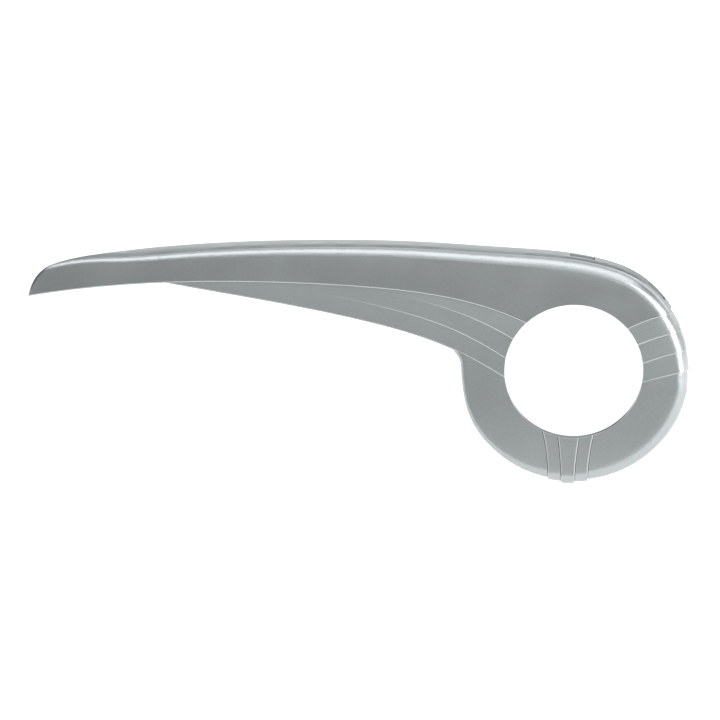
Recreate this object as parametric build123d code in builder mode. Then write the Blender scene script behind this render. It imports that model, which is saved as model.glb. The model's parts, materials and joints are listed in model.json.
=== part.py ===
# Chain guard for a bicycle: one moulded shell with a ring round the chainring and a blade over the chain.
# X runs forward and Z up. The outer face looks along -Y. The crank axis meets the face at the origin.

import os
from math import atan, cos, degrees, radians, sin

from build123d import *

# Shell
wall = 2.4  # moulded wall
flange_depth = 28.5  # reach of the flange behind the face
hollow = 0.35  # the flange is hollowed along its middle
hollow_depth = 17.0  # from the face to the middle of the hollow
lip = 0.45  # the flange's back edge stands out this far

# Ring
ring_radius = 95.7  # outside of the rim
ring_forward = 1.2  # the rim's centre lies this far in front of the crank axis
ring_drop = 2.6  # and this far under it
opening_radius = 58.0  # clear opening for the crank
collar_width = 2.2  # collar behind the opening's edge
collar_depth = 5.0  # from the face to the collar's end

# Path of the rim, from the neck round the ring and along the blade's top edge to the tip
neck_start = 178.0  # angle on the ring where the rim flares out to the blade
neck_flare = 20.0  # radius of that flare
neck_turn = 40.0  # its turn
neck_run = 10.0  # the rim runs on straight under the blade
top_start = 83.1  # angle where the ring's rim turns into the blade's top edge
top_radius = 1680.0
top_end = 94.8  # angle where the top edge turns straight
straight_run = 96.0
tip_radius = 35.4
tip_end = 171.0

# Roll of the rim: its radius grows from the neck to the front of the ring and shrinks towards the tip
roll_neck = 3.2
roll_front = 11.0
roll_top = 8.4
roll_blade = 4.6
roll_tip = 3.2
inside_turns = (30.0, 60.0)  # edges of the roll's inside
roll_grows = (200.0, 280.0)  # angles between which it grows
roll_shrinks = (370.0, 440.0)  # angles between which it shrinks to its size at the top
face_reach = 60.0  # width of the face behind the rim, trimmed later
face_reach_tip = 30.0
face_reach_neck = 25.0
reach_grows = (156.0, 222.0)  # angles between which it grows from the neck

# Flange outline, seen from above and from below
nose_start = -345.0  # the flange starts to narrow here
nose_end = -436.0
nose_depth = 4.5  # depth of the flange round the tip
chain_exit_depth = 9.0  # depth of the flange where the chain's lower run leaves the ring
chain_exit_front = 10.0
chain_exit_ramp = 34.0
chain_exit_top = 40.0

# Feather panels: the lower edge of each panel stands over the next one
feather_lap = 3.0  # how far a panel runs under the one above it
rear_step = 0.75  # step between two rear panels at the opening
wing_step = 0.6  # step behind the strip where the wing starts
neck_step = 1.1  # step between the wing and the neck of the ring
neck_width = 27.0  # from the wing to the neck's crease
set_in = 0.1  # a panel that fades into its neighbour or ends in a crease lies this much deeper
feather_edge = 0.5  # depth of the slope on a panel's lower edge
feather_slope = 1.0  # width of that slope on the face
front_step = 0.9  # step between two front panels
front_slide = 5.0  # how far a front panel is slid down along the rim
front_panels = 3
front_open = (40.3, 16.8)  # angle of the first front line at the opening, and pitch of the lines there
front_roll = (36.3, 11.8)  # the same where the roll starts
front_rim = (33.0, 10.3)  # the same on the rim
front_crease = -9.0  # angle on the rim where the lowest front panel ends
keel_x = -3.5  # middle of the raised layers under the opening
keel_step = 1.1  # height of each layer
keel_layers = ((24.1, 17.6, 16.6), (11.0, 6.6, 5.6))  # half width at the opening, half way and on the rim
foot_width = 0.6  # groove along the foot of each layer
foot_depth = 0.5

# Screw bosses behind the ring, and one behind the blade
boss_circle = 70.0  # radius of the screw circle
boss_count = 3
boss_first = 90.0
boss_radius = 4.5
boss_height = 14.0  # from the face to the boss's end
pilot_radius = 1.6
pilot_depth = 9.0
stay_boss = (-318.0, 87.0)

# Clip windows in the flange
window_angles = (87.0, 45.0)
window_length = 21.0
window_width = 7.0
window_bar = 2.0  # bar left between the window and the flange's back edge

clear = 15.0  # overshoot of a cutting shape

ring_centre = Vector(ring_forward, 0, -ring_drop)
collar_radius = opening_radius + collar_width
collar_lap = wall / 4  # the collar starts this far inside the deepest panel
apex_radius = opening_radius - 1  # the front lines start just inside the opening
cut_plane = Plane.XZ.offset(clear)  # cutting shapes start in front of the face
cut_depth = 2 * clear + flange_depth
boss_plane = Plane.XZ.offset(-boss_height)
window_depth = flange_depth - window_bar - window_width / 2


def ray(angle):
    return Vector(cos(radians(angle)), 0, sin(radians(angle)))


def ease(value, start, end):
    share = min(max((value - start) / (end - start), 0), 1)
    return share * share * (3 - 2 * share)


def flat(point):
    return (point.X, point.Z)


flare_centre = ring_centre + ray(neck_start) * (ring_radius + neck_flare)
flare_end = flare_centre - ray(neck_start + neck_turn) * neck_flare
neck_end = flare_end + ray(neck_start + neck_turn - 90) * neck_run
top_centre = ring_centre + ray(top_start) * (ring_radius - top_radius)
run_start = top_centre + ray(top_end) * top_radius
run_end = run_start + ray(top_end + 90) * straight_run
tip_centre = run_end - ray(top_end) * tip_radius
tip_point = tip_centre + ray(tip_end) * tip_radius


# Sections of the rim: flange, roll and a stretch of the face, drawn square to the edge
def rim_section(point, angle, roll, reach):
    inward = ray(angle) * -1
    section_plane = Plane(origin=point, x_dir=inward, z_dir=(-inward.Z, 0, inward.X))
    with BuildSketch(section_plane) as section:
        with BuildLine():
            Polyline(
                (0, roll),
                (hollow, hollow_depth),
                (-lip, flange_depth),
                (wall - lip, flange_depth),
                (wall, roll),
                *[flat(Vector(roll, 0, roll) - ray(turn) * (roll - wall)) for turn in inside_turns],
                (roll, wall),
                (reach, wall),
                (reach, 0),
                (roll, 0),
            )
            RadiusArc((roll, 0), (0, roll), roll)
        make_face()
    return section.sketch


def rim_sections():
    sections = [rim_section(neck_end, neck_start + neck_turn, roll_neck, face_reach_neck)]
    flare_steps = 2
    for step in range(flare_steps):
        angle = neck_start + neck_turn * (1 - step / flare_steps)
        point = flare_centre - ray(angle) * neck_flare
        sections.append(rim_section(point, angle, roll_neck, face_reach_neck))
    ring_steps = 12
    for step in range(ring_steps + 1):
        angle = neck_start + (360 + top_start - neck_start) * step / ring_steps
        roll = roll_neck + (roll_front - roll_neck) * ease(angle, *roll_grows)
        roll -= (roll_front - roll_top) * ease(angle, *roll_shrinks)
        reach = face_reach_neck + (face_reach - face_reach_neck) * ease(angle, *reach_grows)
        sections.append(rim_section(ring_centre + ray(angle) * ring_radius, angle, roll, reach))
    top_steps = 5
    for step in range(1, top_steps + 1):
        share = step / top_steps
        angle = top_start + (top_end - top_start) * share
        roll = roll_top + (roll_blade - roll_top) * share
        reach = face_reach + (face_reach_tip - face_reach) * ease(share, 0.3, 1)
        sections.append(rim_section(top_centre + ray(angle) * top_radius, angle, roll, reach))
    run_steps = 2
    for step in range(1, run_steps + 1):
        share = step / run_steps
        roll = roll_blade + (roll_tip - roll_blade) * share
        point = run_start + (run_end - run_start) * share
        sections.append(rim_section(point, top_end, roll, face_reach_tip))
    tip_steps = 3
    for step in range(1, tip_steps + 1):
        angle = top_end + (tip_end - top_end) * step / tip_steps
        sections.append(rim_section(tip_centre + ray(angle) * tip_radius, angle, roll_tip, face_reach_tip))
    return sections


with BuildPart() as rim:
    loft(sections=rim_sections())
    # the flange narrows to the tip
    with BuildSketch(Plane.XY):
        with BuildLine():
            Spline((nose_start, flange_depth), (nose_end, nose_depth), tangents=[(-1, 0), (-1, -0.3)])
            Polyline(
                (nose_end, nose_depth),
                (tip_point.X - clear, nose_depth),
                (tip_point.X - clear, flange_depth + clear),
                (nose_start, flange_depth + clear),
                (nose_start, flange_depth),
            )
        make_face()
    extrude(amount=2 * ring_radius, mode=Mode.SUBTRACT)
    # the flange is shallow where the chain's lower run leaves the ring
    with BuildSketch(Plane.XY.offset(chain_exit_top)):
        with BuildLine():
            ramp_end = chain_exit_front - chain_exit_ramp
            Spline(
                (chain_exit_front, flange_depth), (ramp_end, chain_exit_depth), tangents=[(-1, 0), (-1, 0)]
            )
            Polyline(
                (ramp_end, chain_exit_depth),
                (-ring_radius - clear, chain_exit_depth),
                (-ring_radius - clear, flange_depth + clear),
                (chain_exit_front, flange_depth + clear),
                (chain_exit_front, flange_depth),
            )
        make_face()
    extrude(amount=-2 * ring_radius, mode=Mode.SUBTRACT)

# Lines of the rear feathers in the plane of the face, from the blade to the opening
strip_line = [(-343, 73.6), (-280, 75), (-171, 71.1), (-88, 58.9), (-42, 42.3), (-30, 36)]
second_line = [(-165, 66.2), (-112, 54.5), (-70, 37.9), (-53, 28.5), (-40, 20)]
third_line = [(-236, 69.8), (-164, 54.4), (-91, 30.2), (-59, 11.8), (-45, 3)]
wing_line = [strip_line[0], (-280, 62.5), (-179, 42.6), (-112, 22.5), (-80, 7.2), (-59, -5.3), (-45, -14)]
crease_line = [(-115, 5.7), (-45, -31.5)]


def lapped(line):
    return [(x, z + feather_lap) for x, z in line]


def region(upper, lower):
    with BuildSketch(cut_plane) as area:
        with BuildLine():
            top = Spline(*upper)
            bottom = Spline(*lower)
            Line(top @ 0, bottom @ 0)
            Line(top @ 1, bottom @ 1)
        make_face()
    return area.sketch


# Front plane of a rear panel, through three points of the face and their depths
def slope(*points):
    corners = [Vector(x, depth, z) for x, z, depth in points]
    normal = (corners[1] - corners[0]).cross(corners[2] - corners[0])
    return Plane(origin=corners[0], z_dir=normal if normal.Y < 0 else normal * -1)


def depth_at(face, point):
    run = (point[0] - face.origin.X) * face.z_dir.X + (point[1] - face.origin.Z) * face.z_dir.Z
    return face.origin.Y - run / face.z_dir.Y


def in_front(point):
    return (point[0], -wall, point[1])


def rear_panel(upper, lower, face):
    area = region(lapped(upper), lower)
    with BuildPart() as panel:
        extrude(area, amount=-cut_depth)
        with BuildSketch(face):
            Rectangle(8 * ring_radius, 8 * ring_radius)
        extrude(amount=-wall, mode=Mode.INTERSECT)
        front = panel.faces().filter_by(lambda side: side.normal_at().Y < -0.9)[0]
        edge = panel.edges().sort_by_distance(in_front(lower[2]))[0]
        chamfer(edge, length=feather_slope, length2=feather_edge, reference=front)
    return panel.part


wing_face = slope((*wing_line[-2], 0), (*third_line[-2], rear_step), (*wing_line[0], wing_step))
third_fade = (*third_line[0], depth_at(wing_face, third_line[0]) + set_in)
third_face = slope((*third_line[-2], 0), (*second_line[-2], rear_step), third_fade)
second_fade = (*second_line[0], depth_at(third_face, second_line[0]) + set_in)
second_face = slope((*second_line[-2], 0), (*strip_line[-2], rear_step), second_fade)
wing = rear_panel([*strip_line[:3], (-140, 57), *third_line[2:]], wing_line, wing_face)
third_top = [(-236, 74.3), strip_line[2], (-125, 65.5), (-95, 50), *second_line[2:]]
third = rear_panel(third_top, third_line, third_face)
second = rear_panel(strip_line[2:], second_line, second_face)


# Cutter for the slope on an edge of a flat face, drawn along the edge, at the face's height over the plane
def edge_slope(line, downward, height=0):
    rise = downward * -2 * feather_slope
    with BuildPart() as cutter:
        with BuildSketch(Plane.XZ.offset(height + feather_edge)):
            with BuildLine():
                low = Spline(*line)
                high = Spline(*[(x + rise.X, z + rise.Z) for x, z in line])
                Line(low @ 0, high @ 0)
                Line(low @ 1, high @ 1)
            make_face()
        extrude(amount=2 * wall, dir=downward * (feather_slope / feather_edge) + Vector(0, 1, 0))
    return cutter.part


def shell_panel(shell, area):
    with BuildPart() as panel:
        add(shell)
        extrude(area, amount=-clear - flange_depth, mode=Mode.INTERSECT)
    return panel.part


def hinge(start, end):
    return Axis((start[0], 0, start[1]), (end[0] - start[0], 0, end[1] - start[1]))


# Neck of the ring: the shell leans back from its crease to the wing
neck_shell = rim.part.rotate(hinge(*crease_line), -degrees(atan(neck_step / neck_width)))
neck_shell = neck_shell.translate((set_in, set_in, 0))
neck = shell_panel(neck_shell, region(lapped(wing_line[3:]), crease_line))


# Front feathers: the shell leans back from each line to the line above it
def front_line(step):
    start = ray(front_open[0] - front_open[1] * step) * apex_radius
    middle = ring_centre + ray(front_roll[0] - front_roll[1] * step) * (ring_radius - roll_front)
    end = ring_centre + ray(front_rim[0] - front_rim[1] * step) * ring_radius
    return [flat(point) for point in (start * 2 - middle, start, middle, end, end + Vector(clear, 0, 0))]


crease_start = ray(front_open[0] - front_open[1] * front_panels) * apex_radius
crease_end = ring_centre + ray(front_crease) * ring_radius
front_lines = [front_line(step) for step in range(front_panels + 1)]
front_lines.append([flat(point) for point in (crease_start, crease_end, crease_end * 2 - crease_start)])


def front_panel(upper, lower, rim_angle, depth=0):
    width = Vector(upper[-2][0] - lower[-2][0], 0, upper[-2][1] - lower[-2][1]).length
    shell = rim.part.translate(ray(rim_angle - 90) * front_slide + Vector(0, depth, 0))
    shell = shell.rotate(hinge(lower[-3], lower[-2]), -degrees(atan(front_step / width)))
    return shell_panel(shell, region(lapped(upper), lower))


fronts = []
for step in range(front_panels):
    lower_line = front_lines[step + 1]
    lower_angle = front_rim[0] - front_rim[1] * (step + 1)
    with BuildPart() as front:
        add(front_panel(front_lines[step], lower_line, lower_angle))
        add(edge_slope(lower_line, ray(lower_angle - 90)), mode=Mode.SUBTRACT)
    fronts.append(front.part)
fronts.append(front_panel(front_lines[-2][1:], front_lines[-1], front_crease, set_in))


# Keel under the opening: two layers of the shell, each standing out over the last
def keel_side(layer, side):
    at_opening, half_way, at_rim = (keel_x + side * half for half in keel_layers[layer])
    return [
        (at_opening, clear - collar_radius),
        (half_way, -(opening_radius + ring_radius) / 2),
        (at_rim, -ring_radius),
        (at_rim, -ring_radius - clear),
    ]


def keel_layer(layer):
    height = keel_step * (layer + 1)
    shell = rim.part.translate((0, -height, -height))
    with BuildPart() as keel:
        add(shell_panel(shell, region(keel_side(layer, -1), keel_side(layer, 1))))
        for side in (-1, 1):
            add(edge_slope(keel_side(layer, side), Vector(side, 0, 0), height), mode=Mode.SUBTRACT)
    return keel.part


def keel_foot(layer, side):
    line = keel_side(layer, side)
    inner = [(x - side * set_in, z) for x, z in line]
    outer = [(x + side * foot_width, z) for x, z in line]
    with BuildPart() as groove:
        extrude(region(inner, outer), amount=keel_step * layer - foot_depth - clear)
    return groove.part


keels = [keel_layer(layer) for layer in range(len(keel_layers))]
feet = [keel_foot(layer, side) for layer in range(len(keel_layers)) for side in (-1, 1)]
front_window = region(front_lines[0], [flat(crease_start * 2 - crease_end), *front_lines[-1]])

with BuildPart() as chain_guard:
    add(rim.part)
    # window for the rear feathers
    with BuildSketch(cut_plane):
        with BuildLine():
            strip_edge = Spline(flat(tip_point), *strip_line)
            Polyline(
                strip_edge @ 1,
                crease_line[1],
                crease_line[0],
                (tip_point.X - clear, 0),
                (tip_point.X - clear, tip_point.Z),
                flat(tip_point),
            )
        make_face()
    extrude(amount=-cut_depth, mode=Mode.SUBTRACT)
    add(edge_slope([flat(tip_point), *strip_line], Vector(0, 0, -1)), mode=Mode.SUBTRACT)
    # window for the front feathers
    extrude(front_window, amount=-cut_depth, mode=Mode.SUBTRACT)
    add(edge_slope(front_lines[0], ray(front_rim[0] - 90)), mode=Mode.SUBTRACT)
    add([second, third, wing, neck, *fronts, *keels])
    add(feet, mode=Mode.SUBTRACT)
    # opening with its collar
    with BuildSketch(Plane.XZ.offset(-collar_depth)):
        Circle(collar_radius)
    extrude(amount=collar_depth - neck_step - collar_lap, clean=False)
    with BuildSketch(cut_plane):
        Circle(opening_radius)
    extrude(amount=-cut_depth, mode=Mode.SUBTRACT, clean=False)
    # screw bosses with blind pilot holes
    with BuildSketch(boss_plane):
        with PolarLocations(boss_circle, boss_count, start_angle=boss_first):
            Circle(boss_radius)
        with Locations(stay_boss):
            Circle(boss_radius)
    extrude(amount=boss_height - wall / 2, clean=False)
    with BuildSketch(boss_plane):
        with PolarLocations(boss_circle, boss_count, start_angle=boss_first):
            Circle(pilot_radius)
        with Locations(stay_boss):
            Circle(pilot_radius)
    extrude(amount=pilot_depth, mode=Mode.SUBTRACT, clean=False)
    # clip windows through the flange
    for angle in window_angles:
        window_centre = ring_centre + ray(angle) * ring_radius + Vector(0, window_depth, 0)
        with BuildSketch(Plane(origin=window_centre, x_dir=ray(angle - 90), z_dir=ray(angle))):
            Rectangle(window_length, window_width)
    extrude(amount=2 * wall, both=True, mode=Mode.SUBTRACT)

chain_guard.part.label = "chain_guard"
os.makedirs("parts", exist_ok=True)
export_step(chain_guard.part, "parts/chain_guard.step")
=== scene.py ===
import json
import math

import bpy
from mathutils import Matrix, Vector

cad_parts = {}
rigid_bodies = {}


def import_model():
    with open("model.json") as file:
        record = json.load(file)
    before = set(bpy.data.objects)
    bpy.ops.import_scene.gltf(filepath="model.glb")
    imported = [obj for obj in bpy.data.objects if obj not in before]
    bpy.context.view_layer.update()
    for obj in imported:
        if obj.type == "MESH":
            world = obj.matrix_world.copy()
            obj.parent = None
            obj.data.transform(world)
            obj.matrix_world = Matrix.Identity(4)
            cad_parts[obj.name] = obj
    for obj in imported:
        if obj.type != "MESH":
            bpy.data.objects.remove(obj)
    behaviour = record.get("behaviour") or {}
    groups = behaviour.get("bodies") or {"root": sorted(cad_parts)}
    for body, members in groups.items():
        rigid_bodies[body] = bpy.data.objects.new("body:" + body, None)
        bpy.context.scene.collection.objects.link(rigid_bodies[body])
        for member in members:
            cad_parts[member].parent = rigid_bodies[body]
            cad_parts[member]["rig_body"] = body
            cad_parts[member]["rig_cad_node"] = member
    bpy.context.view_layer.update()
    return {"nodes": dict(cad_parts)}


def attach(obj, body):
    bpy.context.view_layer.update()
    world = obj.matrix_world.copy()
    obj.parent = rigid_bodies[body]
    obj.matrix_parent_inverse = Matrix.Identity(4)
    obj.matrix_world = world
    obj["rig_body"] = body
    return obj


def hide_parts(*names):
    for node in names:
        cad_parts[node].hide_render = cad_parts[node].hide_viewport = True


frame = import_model()
print("frame loaded")


def pickOnly(obj):
    bpy.ops.object.select_all(action="DESELECT")
    obj.select_set(True)
    bpy.context.view_layer.objects.active = obj


def addNode(tree, kind, place, **settings):
    node = tree.nodes.new(kind)
    node.location = place
    for key, value in settings.items():
        setattr(node, key, value)
    return node


def setRange(node, limits):
    node.inputs["From Min"].default_value = limits[0]
    node.inputs["From Max"].default_value = limits[1]


def newMaterial(name):
    material = bpy.data.materials.new(name)
    material.use_nodes = True
    material.node_tree.nodes.clear()
    return material


# silver lacquer over moulded plastic
lacquer = {
    "metallic": 0.82,
    "coat": 0.35,
    "coatRoughness": 0.12,
    "flakeDark": (0.405, 0.431, 0.434, 1),
    "flakeLight": (0.515, 0.543, 0.548, 1),
    "flakeScale": 2600,
    "smoothest": 0.28,  # roughness between the clouds
    "dullest": 0.33,  # and in them
    "cloudScale": 22,
    "cloudDetail": 4,
    "cloudRange": (0.3, 0.7),
    "peelScale": 420,
    "peelDetail": 2,
    "peelStrength": 0.25,
    "peelHeight": 0.00003,
    "reachSamples": 8,
    "edgeHighlightColor": (0.80, 0.82, 0.82, 1),  # painted highlight along the edges
    "edgeReach": 0.0006,
    "edgeRange": (0.95, 0.55),  # none at the first openness, full at the second
    "creaseShadeColor": (0.10, 0.105, 0.11, 1),  # painted shade at the foot of each step
    "creaseReach": 0.0014,
    "creaseRange": (0.90, 0.45),
}


def silverLacquer():
    material = newMaterial("silverLacquer")
    tree = material.node_tree
    out = addNode(tree, "ShaderNodeOutputMaterial", (900, 0))
    shader = addNode(tree, "ShaderNodeBsdfPrincipled", (600, 0))
    shader.inputs["Metallic"].default_value = lacquer["metallic"]
    shader.inputs["Coat Weight"].default_value = lacquer["coat"]
    shader.inputs["Coat Roughness"].default_value = lacquer["coatRoughness"]
    place = addNode(tree, "ShaderNodeTexCoord", (-900, 0))
    # fine flake in the lacquer
    flake = addNode(tree, "ShaderNodeTexVoronoi", (-600, 200))
    flake.inputs["Scale"].default_value = lacquer["flakeScale"]
    tree.links.new(place.outputs["Object"], flake.inputs["Vector"])
    tint = addNode(tree, "ShaderNodeMix", (0, 200), data_type="RGBA")
    tint.inputs["A"].default_value = lacquer["flakeDark"]
    tint.inputs["B"].default_value = lacquer["flakeLight"]
    tree.links.new(flake.outputs["Color"], tint.inputs["Factor"])
    # painted highlight on the edges, found by how little of the piece lies within reach
    edge = addNode(tree, "ShaderNodeAmbientOcclusion", (-600, 600), inside=True, only_local=True)
    edge.samples = lacquer["reachSamples"]
    edge.inputs["Distance"].default_value = lacquer["edgeReach"]
    highlightMask = addNode(tree, "ShaderNodeMapRange", (-300, 600))
    setRange(highlightMask, lacquer["edgeRange"])
    tree.links.new(edge.outputs["AO"], highlightMask.inputs["Value"])
    bright = addNode(tree, "ShaderNodeMix", (200, 300), data_type="RGBA")
    tree.links.new(highlightMask.outputs["Result"], bright.inputs["Factor"])
    tree.links.new(tint.outputs["Result"], bright.inputs["A"])
    bright.inputs["B"].default_value = lacquer["edgeHighlightColor"]
    # painted shade in the creases, found by how much lies within reach in front
    crease = addNode(tree, "ShaderNodeAmbientOcclusion", (-600, 900))
    crease.samples = lacquer["reachSamples"]
    crease.inputs["Distance"].default_value = lacquer["creaseReach"]
    shadeMask = addNode(tree, "ShaderNodeMapRange", (-300, 900))
    setRange(shadeMask, lacquer["creaseRange"])
    tree.links.new(crease.outputs["AO"], shadeMask.inputs["Value"])
    color = addNode(tree, "ShaderNodeMix", (400, 300), data_type="RGBA")
    tree.links.new(shadeMask.outputs["Result"], color.inputs["Factor"])
    tree.links.new(bright.outputs["Result"], color.inputs["A"])
    color.inputs["B"].default_value = lacquer["creaseShadeColor"]
    tree.links.new(color.outputs["Result"], shader.inputs["Base Color"])
    # slow change of gloss over the sprayed surface
    cloud = addNode(tree, "ShaderNodeTexNoise", (-600, -100))
    cloud.inputs["Scale"].default_value = lacquer["cloudScale"]
    cloud.inputs["Detail"].default_value = lacquer["cloudDetail"]
    tree.links.new(place.outputs["Object"], cloud.inputs["Vector"])
    gloss = addNode(tree, "ShaderNodeMapRange", (0, -100))
    setRange(gloss, lacquer["cloudRange"])
    gloss.inputs["To Min"].default_value = lacquer["smoothest"]
    gloss.inputs["To Max"].default_value = lacquer["dullest"]
    tree.links.new(cloud.outputs["Fac"], gloss.inputs["Value"])
    tree.links.new(gloss.outputs["Result"], shader.inputs["Roughness"])
    # orange peel
    peel = addNode(tree, "ShaderNodeTexNoise", (-600, -400))
    peel.inputs["Scale"].default_value = lacquer["peelScale"]
    peel.inputs["Detail"].default_value = lacquer["peelDetail"]
    tree.links.new(place.outputs["Object"], peel.inputs["Vector"])
    bump = addNode(tree, "ShaderNodeBump", (200, -400))
    bump.inputs["Strength"].default_value = lacquer["peelStrength"]
    bump.inputs["Distance"].default_value = lacquer["peelHeight"]
    tree.links.new(peel.outputs["Fac"], bump.inputs["Height"])
    tree.links.new(bump.outputs["Normal"], shader.inputs["Normal"])
    tree.links.new(shader.outputs["BSDF"], out.inputs["Surface"])
    return material


silver = silverLacquer()
print("lacquer ready")

# the moulded shell, merged and smoothed for shading
shell = {
    "node": "chain_guard",
    "mergeDistance": 0.000004,
    "smoothAngle": 18,  # under the slope of the feather steps
    "flatWeight": 100,  # large flat panels stay flat at their corners
}


def makeShell():
    source = frame["nodes"][shell["node"]]
    piece = source.copy()
    piece.data = source.data.copy()
    piece.name = "guardShell"
    piece.data.name = "guardShell"
    for key in ("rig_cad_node", "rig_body"):  # the copy is a piece of its own
        if key in piece:
            del piece[key]
    piece.parent = None
    bpy.context.scene.collection.objects.link(piece)
    pickOnly(piece)
    bpy.ops.object.mode_set(mode="EDIT")
    bpy.ops.mesh.select_all(action="SELECT")
    bpy.ops.mesh.remove_doubles(threshold=shell["mergeDistance"])
    bpy.ops.object.mode_set(mode="OBJECT")
    bpy.ops.mesh.customdata_custom_splitnormals_clear()
    bpy.ops.object.shade_smooth_by_angle(angle=math.radians(shell["smoothAngle"]))
    even = piece.modifiers.new("evenNormals", "WEIGHTED_NORMAL")
    even.keep_sharp = True
    even.weight = shell["flatWeight"]
    bpy.ops.object.modifier_apply(modifier=even.name)
    piece.data.materials.clear()
    piece.data.materials.append(silver)
    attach(piece, "root")
    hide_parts(shell["node"])
    return piece


guardShell = makeShell()
print("shell ready", len(guardShell.data.polygons))

# pale floor, far under the guard, which is held by its bracket
floor = {
    "size": 40.0,
    "drop": 0.36,
    "color": (0.90, 0.90, 0.90, 1),
    "nearGlow": 0.27,
    "farGlow": 0.90,  # further out, where the lamps reach less
    "farRange": (0.3, 2.4),  # from the middle of the floor
}


def paleFloor():
    material = newMaterial("paleFloor")
    tree = material.node_tree
    out = addNode(tree, "ShaderNodeOutputMaterial", (900, 0))
    matte = addNode(tree, "ShaderNodeBsdfDiffuse", (300, 100))
    matte.inputs["Color"].default_value = floor["color"]
    # the same glow for the camera, for metal and for glass
    light = addNode(tree, "ShaderNodeLightPath", (-700, -200))
    sight = addNode(tree, "ShaderNodeMath", (-500, -200), operation="MAXIMUM")
    tree.links.new(light.outputs["Is Camera Ray"], sight.inputs[0])
    tree.links.new(light.outputs["Is Glossy Ray"], sight.inputs[1])
    seen = addNode(tree, "ShaderNodeMath", (-300, -200), operation="MAXIMUM")
    tree.links.new(sight.outputs["Value"], seen.inputs[0])
    tree.links.new(light.outputs["Is Transmission Ray"], seen.inputs[1])
    place = addNode(tree, "ShaderNodeTexCoord", (-900, -450))
    far = addNode(tree, "ShaderNodeVectorMath", (-700, -450), operation="LENGTH")
    tree.links.new(place.outputs["Object"], far.inputs[0])
    level = addNode(tree, "ShaderNodeMapRange", (-500, -450), interpolation_type="SMOOTHSTEP")
    setRange(level, floor["farRange"])
    level.inputs["To Min"].default_value = floor["nearGlow"]
    level.inputs["To Max"].default_value = floor["farGlow"]
    tree.links.new(far.outputs["Value"], level.inputs["Value"])
    lit = addNode(tree, "ShaderNodeMath", (-100, -200), operation="MULTIPLY")
    tree.links.new(seen.outputs["Value"], lit.inputs[0])
    tree.links.new(level.outputs["Result"], lit.inputs[1])
    glow = addNode(tree, "ShaderNodeEmission", (300, -200))
    tree.links.new(lit.outputs["Value"], glow.inputs["Strength"])
    both = addNode(tree, "ShaderNodeAddShader", (600, 0))
    tree.links.new(matte.outputs["BSDF"], both.inputs[0])
    tree.links.new(glow.outputs["Emission"], both.inputs[1])
    tree.links.new(both.outputs["Shader"], out.inputs["Surface"])
    return material


def makeFloor():
    bpy.ops.object.select_all(action="DESELECT")
    bpy.ops.mesh.primitive_plane_add(size=floor["size"], location=(0, 0, -floor["drop"]))
    obj = bpy.context.object
    obj.name = "floor"
    obj.data.materials.append(paleFloor())


makeFloor()
print("floor ready")

# dark card over the floor in front, which only shows as a reflection on the face
card = {
    "width": 6.0,
    "depth": 2.4,
    "front": -2.6,
    "lift": 0.01,  # over the floor
    "color": (0.02, 0.027, 0.027, 1),
    "fadeRange": (-0.20, -1.25),  # clear at the first, dark from the second on
}


def cardPaint():
    material = newMaterial("darkCard")
    tree = material.node_tree
    out = addNode(tree, "ShaderNodeOutputMaterial", (600, 0))
    place = addNode(tree, "ShaderNodeTexCoord", (-600, 0))
    axis = addNode(tree, "ShaderNodeSeparateXYZ", (-400, 0))
    tree.links.new(place.outputs["Object"], axis.inputs["Vector"])
    fade = addNode(tree, "ShaderNodeMapRange", (-200, 0), interpolation_type="SMOOTHSTEP")
    setRange(fade, card["fadeRange"])
    tree.links.new(axis.outputs["Y"], fade.inputs["Value"])
    clear = addNode(tree, "ShaderNodeBsdfTransparent", (0, 150))
    dark = addNode(tree, "ShaderNodeEmission", (0, -150))
    dark.inputs["Color"].default_value = card["color"]
    both = addNode(tree, "ShaderNodeMixShader", (300, 0))
    tree.links.new(fade.outputs["Result"], both.inputs["Fac"])
    tree.links.new(clear.outputs["BSDF"], both.inputs[1])
    tree.links.new(dark.outputs["Emission"], both.inputs[2])
    tree.links.new(both.outputs["Shader"], out.inputs["Surface"])
    return material


def makeCard():
    bpy.ops.object.select_all(action="DESELECT")
    middle = card["front"] + card["depth"] / 2
    height = card["lift"] - floor["drop"]
    bpy.ops.mesh.primitive_plane_add(size=1, location=(0, middle, height))
    obj = bpy.context.object
    obj.name = "darkCard"
    obj.scale = (card["width"], card["depth"], 1)
    bpy.ops.object.transform_apply(location=True, rotation=True, scale=True)
    obj.visible_camera = False
    obj.visible_shadow = False
    obj.visible_diffuse = False
    obj.data.materials.append(cardPaint())


makeCard()
print("card ready")

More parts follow.
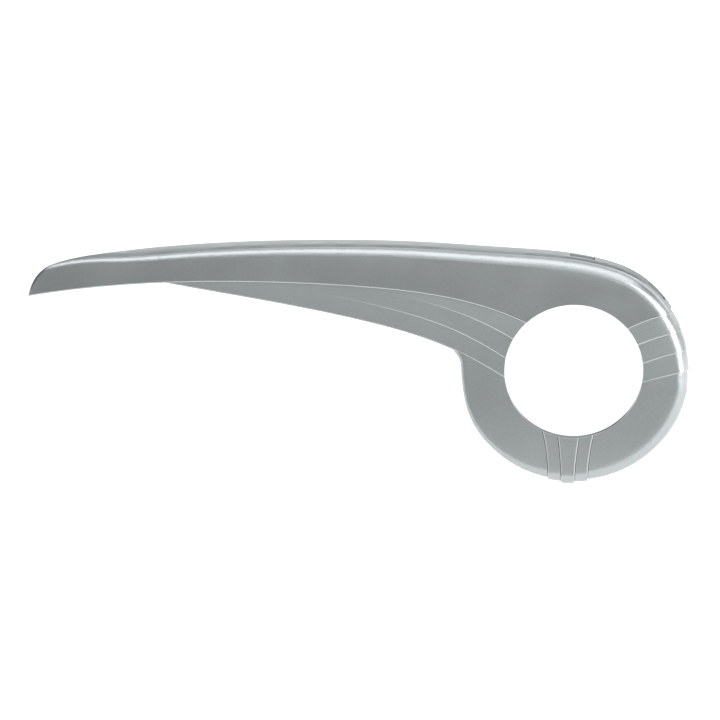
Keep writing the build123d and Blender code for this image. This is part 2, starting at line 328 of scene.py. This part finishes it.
# studio: soft boxes overhead, in front, at the right and behind, in a dim room
room = {
    "color": (0.080, 0.093, 0.095, 1),
    "strength": 1.0,
}
lamps = (
    {"name": "topFront", "power": 24, "size": (3.0, 1.35),
     "place": (-0.2, -0.675, 1.35), "aim": (-0.2, -0.675, 0)},
    {"name": "topRear", "power": 9, "size": (3.0, 1.35),
     "place": (-0.2, 0.675, 1.35), "aim": (-0.2, 0.675, 0)},
    {"name": "frontLow", "power": 3.5, "size": (2.4, 0.9),
     "place": (0.75, -2.6, 0.15), "aim": (0.75, 0, 0.15)},
    {"name": "frontHigh", "power": 20, "size": (3.4, 1.6),
     "place": (0.2, -2.4, 1.45), "aim": (0.2, 0, 0.6)},
    {"name": "right", "power": 7, "size": (2.6, 1.3),
     "place": (1.7, 0, 0.40), "aim": (0, 0, 0.40)},
    {"name": "rightFront", "power": 14, "size": (1.2, 1.2),
     "place": (1.3, -1.1, 0.30), "aim": (0, 0, 0)},
    {"name": "rear", "power": 10, "size": (2.6, 1.2),
     "place": (-0.2, 2.2, 1.40), "aim": (-0.2, 0, 1.40)},
    {"name": "rearRight", "power": 9, "size": (1.8, 1.4),
     "place": (1.5, 1.5, 1.0), "aim": (0, 0, 0.1)},
)


def makeRoom():
    world = bpy.data.worlds.new("room")
    bpy.context.scene.world = world
    world.use_nodes = True
    tree = world.node_tree
    tree.nodes.clear()
    out = addNode(tree, "ShaderNodeOutputWorld", (300, 0))
    dimRoom = addNode(tree, "ShaderNodeBackground", (0, 0))
    dimRoom.inputs["Color"].default_value = room["color"]
    dimRoom.inputs["Strength"].default_value = room["strength"]
    tree.links.new(dimRoom.outputs["Background"], out.inputs["Surface"])


def makeLamp(lamp):
    data = bpy.data.lights.new(lamp["name"], "AREA")
    data.shape = "RECTANGLE"
    data.size, data.size_y = lamp["size"]
    data.energy = lamp["power"]
    obj = bpy.data.objects.new(lamp["name"], data)
    bpy.context.scene.collection.objects.link(obj)
    obj.location = lamp["place"]
    obj.visible_camera = False
    aim = Vector(lamp["aim"]) - obj.location
    obj.rotation_euler = aim.to_track_quat("-Z", "Y").to_euler()


makeRoom()
for lamp in lamps:
    makeLamp(lamp)
print("studio ready")

# camera at the photograph's angle, with a long lens
view = {
    "azimuth": 2.1,
    "elevation": 16.5,
    "aim": (-0.1791, 0, 0.0083),
    "distance": 3.0,
    "imageWidth": 0.6037,  # metres across the image at the aim
    "sensor": 36,
}


def makeCamera():
    data = bpy.data.cameras.new("camera")
    data.sensor_width = view["sensor"]
    data.lens = view["sensor"] * view["distance"] / view["imageWidth"]
    obj = bpy.data.objects.new("camera", data)
    bpy.context.scene.collection.objects.link(obj)
    turn = math.radians(view["azimuth"])
    lift = math.radians(view["elevation"])
    level = math.cos(lift)
    back = Vector((math.sin(turn) * level, -math.cos(turn) * level, math.sin(lift)))
    obj.location = Vector(view["aim"]) + back * view["distance"]
    obj.rotation_euler = (-back).to_track_quat("-Z", "Y").to_euler()
    bpy.context.scene.camera = obj


makeCamera()
bpy.context.scene.view_settings.view_transform = "Standard"
print("camera ready")
